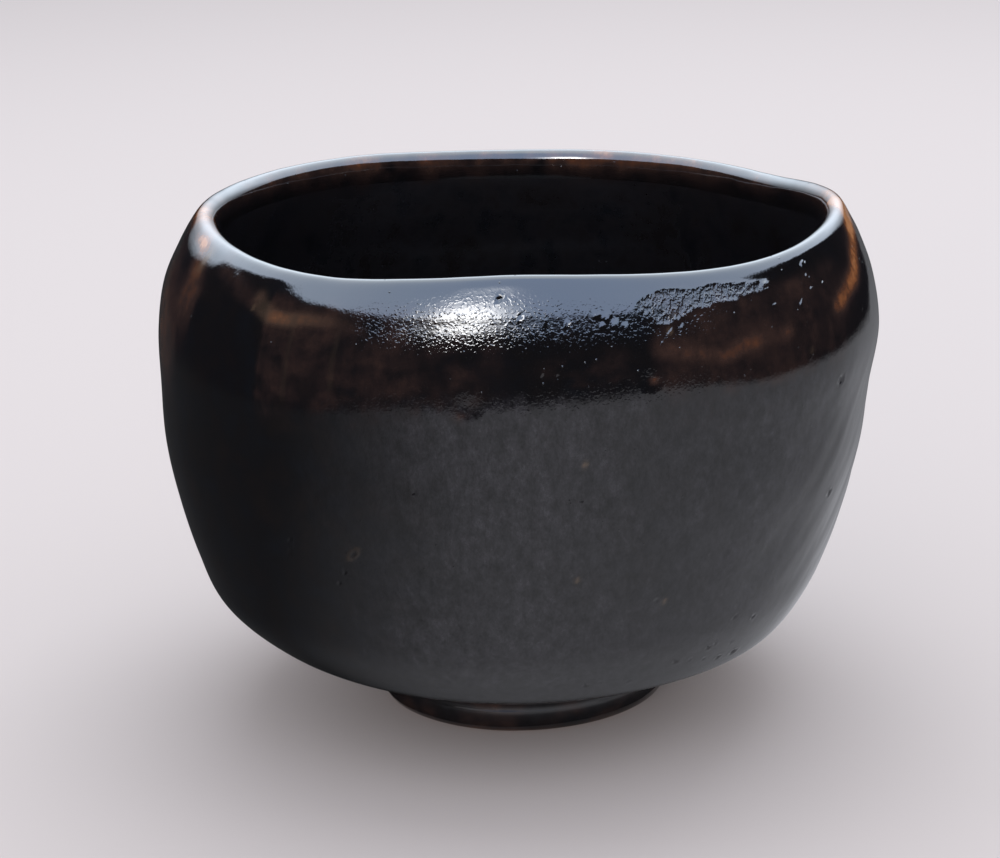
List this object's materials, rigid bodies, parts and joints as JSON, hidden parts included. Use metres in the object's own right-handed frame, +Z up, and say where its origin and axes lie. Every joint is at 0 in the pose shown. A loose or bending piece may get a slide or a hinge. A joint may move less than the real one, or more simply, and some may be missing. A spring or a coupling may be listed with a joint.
{
  "type": "tea bowl",
  "caption": "Hand-formed black-glazed tea bowl with an uneven incurved lip, a shallow tea pool inside and a low luted foot ring.",
  "frame": {"origin": "on the table plane, under the middle of the bowl, less than half a millimetre from the axis of its foot ring", "axes": "+Z up out of the mouth, -Y the side shown to the guest, +X to the right as the guest sees it"},
  "size_m": [0.1138, 0.1144, 0.0819],
  "materials": {
    "fired_clay": "bare low-fired clay, matte, smoked dark",
    "black_glaze": "glossy black glaze with a fine leathery skin, pits and blisters",
    "thin_amber_glaze": "glossy glaze drawn thin over the lip, amber brown at the edge",
    "inner_black_glaze": "smooth glossy black glaze",
    "foot_black_glaze": "thin glossy black glaze over the foot"
  },
  "bodies": {
    "root": {"clay_body": "fired_clay", "foot_ring": "fired_clay", "outer_glaze": "black_glaze", "lip_glaze": "thin_amber_glaze", "inner_glaze": "inner_black_glaze", "foot_glaze": "foot_black_glaze"}
  },
  "joints": []
}
